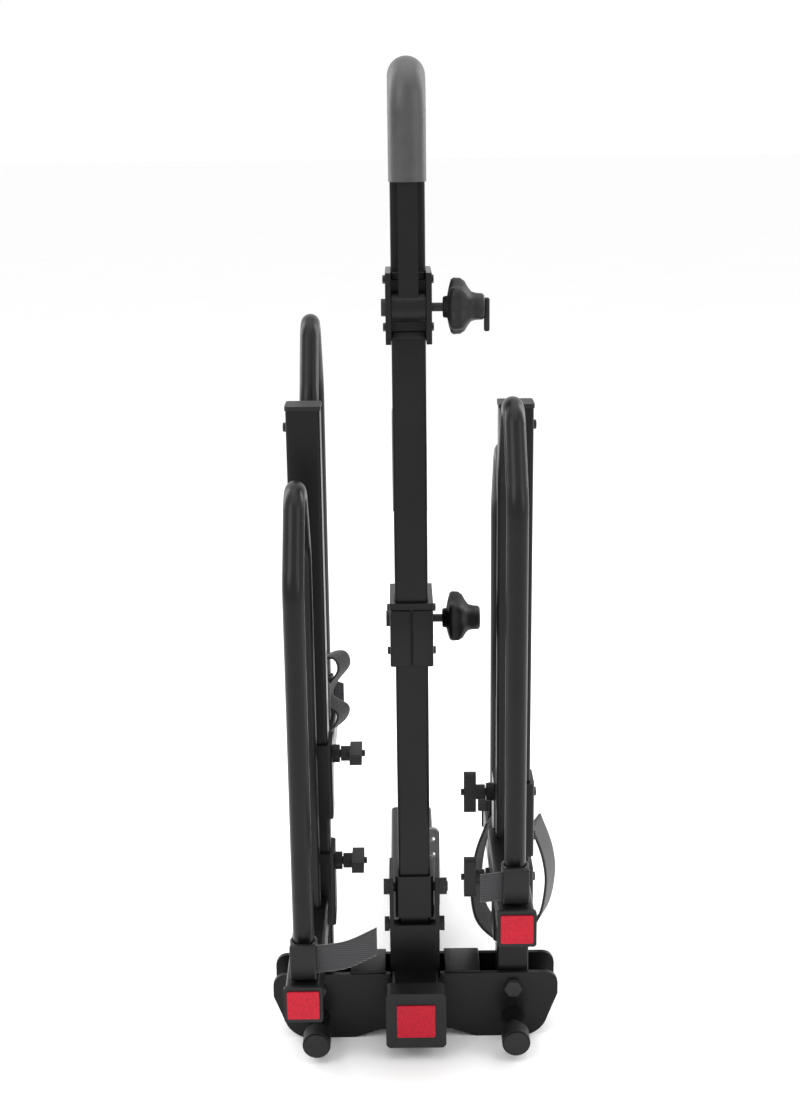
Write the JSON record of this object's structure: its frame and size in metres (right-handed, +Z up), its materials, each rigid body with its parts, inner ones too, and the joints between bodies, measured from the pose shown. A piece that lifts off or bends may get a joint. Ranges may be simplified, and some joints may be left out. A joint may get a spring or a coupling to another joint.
{
  "type": "hitch mounted bike rack",
  "caption": "Folding hitch rack for bicycles, with a mast and padded hooks, fold-down arms, sliding wheel hoops with straps, T-knobs and red reflectors.",
  "frame": {"origin": "centre of the hitch pin hole in the main beam", "axes": "+X across the vehicle, +Y towards the vehicle, +Z up; the mast and arms are folded up"},
  "size_m": [0.29, 0.5915, 0.965],
  "materials": {
    "black_steel": "satin powder coat",
    "black_plastic": "matte",
    "foam": "satin foam",
    "reflector": "gloss",
    "webbing": "woven",
    "bolt_steel": "black oxide",
    "grey_steel": "satin"
  },
  "bodies": {
    "beam": {"main_beam": "black_steel", "beam_end_cap": "black_plastic", "beam_reflector": "reflector", "front_wing_plate": "black_steel", "rear_wing_plate": "black_steel", "arm_stop_bars": "black_steel", "arm_pivot_bolts": "bolt_steel", "arm_pivot_nuts": "bolt_steel", "arm_pivot_washers": "bolt_steel", "pull_pin_sleeves": "black_steel", "mast_bracket": "black_steel", "mast_pivot_bolt": "bolt_steel", "rear_upright": "grey_steel", "rear_foot": "black_plastic"},
    "mast": {"mast_tube": "black_steel", "mast_foot_sleeve": "black_steel", "mast_seat_bolt": "bolt_steel", "mast_top_cap": "black_plastic"},
    "left_pin": {"left_pull_pin": "black_plastic"},
    "right_pin": {"right_pull_pin": "black_plastic"},
    "left_arm": {"left_arm_tube": "black_steel", "left_arm_cap": "black_plastic"},
    "right_arm": {"right_arm_tube": "black_steel", "right_arm_cap": "black_plastic"},
    "upper_clamp_set": {"upper_clamp": "black_steel", "upper_stud": "bolt_steel"},
    "upper_hook": {"upper_hook_arm": "black_steel", "upper_foam_grip": "foam"},
    "upper_knob": {"upper_star_knob": "black_plastic"},
    "lower_clamp_set": {"lower_clamp": "black_steel", "lower_stud": "bolt_steel"},
    "lower_hook": {"lower_hook_arm": "black_steel", "lower_foam_grip": "foam"},
    "lower_knob": {"lower_star_knob": "black_plastic"},
    "near_left_holder": {"near_left_sleeve": "black_steel", "near_left_foot": "black_steel", "near_left_foot_cap": "black_plastic", "near_left_reflector": "reflector", "near_left_hoop": "black_steel", "near_left_strap": "webbing"},
    "near_left_handle": {"near_left_knob": "black_plastic"},
    "near_right_holder": {"near_right_sleeve": "black_steel", "near_right_foot": "black_steel", "near_right_foot_cap": "black_plastic", "near_right_reflector": "reflector", "near_right_hoop": "black_steel", "near_right_strap": "webbing"},
    "near_right_handle": {"near_right_knob": "black_plastic"},
    "far_left_holder": {"far_left_sleeve": "black_steel", "far_left_foot": "black_steel", "far_left_foot_cap": "black_plastic", "far_left_hoop": "black_steel", "far_left_strap": "webbing"},
    "far_left_handle": {"far_left_knob": "black_plastic"},
    "far_right_holder": {"far_right_sleeve": "black_steel", "far_right_foot": "black_steel", "far_right_foot_cap": "black_plastic", "far_right_hoop": "black_steel", "far_right_strap": "webbing"},
    "far_right_handle": {"far_right_knob": "black_plastic"}
  },
  "joints": [
    {"name": "mast_fold", "type": "hinge", "parent": "beam", "child": "mast", "pos_m": [0, -0.315, 0.107], "axis": [1, 0, 0], "range_deg": [0, 90]},
    {"name": "left_arm_fold", "type": "hinge", "parent": "beam", "child": "left_arm", "pos_m": [-0.0995, -0.327, 0.011], "axis": [0, 1, 0], "range_deg": [-90, 0]},
    {"name": "left_pin_push", "type": "slide", "parent": "beam", "child": "left_pin", "axis": [0, 1, 0], "range_m": [0, 0.015]},
    {"name": "right_arm_fold", "type": "hinge", "parent": "beam", "child": "right_arm", "pos_m": [0.0995, -0.327, 0.011], "axis": [0, 1, 0], "range_deg": [0, 90]},
    {"name": "right_pin_push", "type": "slide", "parent": "beam", "child": "right_pin", "axis": [0, 1, 0], "range_m": [0, 0.015]},
    {"name": "upper_clamp_slide", "type": "slide", "parent": "mast", "child": "upper_clamp_set", "axis": [0, 0, 1], "range_m": [-0.03, 0.06]},
    {"name": "upper_hook_swing", "type": "hinge", "parent": "upper_clamp_set", "child": "upper_hook", "pos_m": [0, -0.35, 0.701], "axis": [1, 0, 0], "range_deg": [0, 150]},
    {"name": "upper_knob_turn", "type": "hinge", "parent": "upper_clamp_set", "child": "upper_knob", "pos_m": [0, -0.35, 0.701], "axis": [1, 0, 0], "continuous": true},
    {"name": "lower_clamp_slide", "type": "slide", "parent": "mast", "child": "lower_clamp_set", "axis": [0, 0, 1], "range_m": [-0.04, 0.06]},
    {"name": "lower_hook_swing", "type": "hinge", "parent": "lower_clamp_set", "child": "lower_hook", "pos_m": [0, -0.28, 0.384], "axis": [1, 0, 0], "range_deg": [-150, 0]},
    {"name": "lower_knob_turn", "type": "hinge", "parent": "lower_clamp_set", "child": "lower_knob", "pos_m": [0, -0.28, 0.384], "axis": [1, 0, 0], "continuous": true},
    {"name": "near_left_slide", "type": "slide", "parent": "left_arm", "child": "near_left_holder", "axis": [0, 0, 1], "range_m": [-0.02, 0.035]},
    {"name": "near_left_handle_turn", "type": "hinge", "parent": "near_left_holder", "child": "near_left_handle", "pos_m": [-0.0995, -0.327, 0.143], "axis": [1, 0, 0], "continuous": true},
    {"name": "near_right_slide", "type": "slide", "parent": "right_arm", "child": "near_right_holder", "axis": [0, 0, 1], "range_m": [-0.012, 0.3]},
    {"name": "near_right_handle_turn", "type": "hinge", "parent": "near_right_holder", "child": "near_right_handle", "pos_m": [0.0995, -0.327, 0.216], "axis": [1, 0, 0], "continuous": true},
    {"name": "far_left_slide", "type": "slide", "parent": "left_arm", "child": "far_left_holder", "axis": [0, 0, 1], "range_m": [-0.035, 0.3]},
    {"name": "far_left_handle_turn", "type": "hinge", "parent": "far_left_holder", "child": "far_left_handle", "pos_m": [-0.0995, -0.327, 0.259], "axis": [1, 0, 0], "continuous": true},
    {"name": "far_right_slide", "type": "slide", "parent": "right_arm", "child": "far_right_holder", "axis": [0, 0, 1], "range_m": [-0.003, 0.012]},
    {"name": "far_right_handle_turn", "type": "hinge", "parent": "far_right_holder", "child": "far_right_handle", "pos_m": [0.0995, -0.327, 0.123], "axis": [1, 0, 0], "continuous": true}
  ]
}
